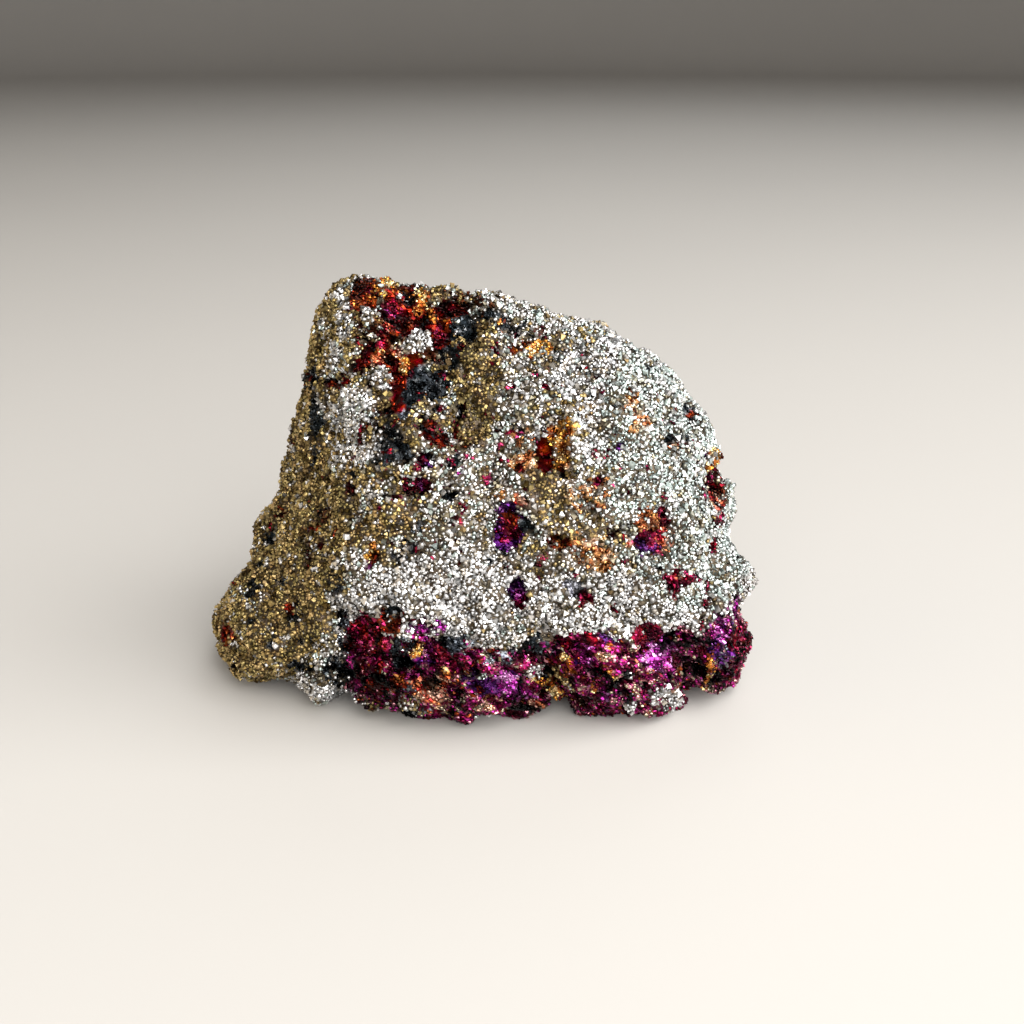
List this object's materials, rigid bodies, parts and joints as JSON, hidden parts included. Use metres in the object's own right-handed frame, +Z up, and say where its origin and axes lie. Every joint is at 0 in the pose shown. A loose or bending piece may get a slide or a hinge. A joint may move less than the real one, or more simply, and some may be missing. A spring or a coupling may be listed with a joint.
{
  "type": "peacock ore specimen",
  "caption": "Palm-size lump of iridescent copper ore under a crust of metallic grains, standing on a rough flat base.",
  "frame": {"origin": "middle of the stone's bounding box in plan, on the surface it stands on", "axes": "+X to the right along the stone's longest side, +Y towards its back, +Z up"},
  "size_m": [0.0608, 0.0454, 0.0449],
  "materials": {
    "ore": "metallic grains over iridescent red, magenta and purple ore"
  },
  "bodies": {
    "root": {"peacock_ore": "ore"}
  },
  "joints": []
}
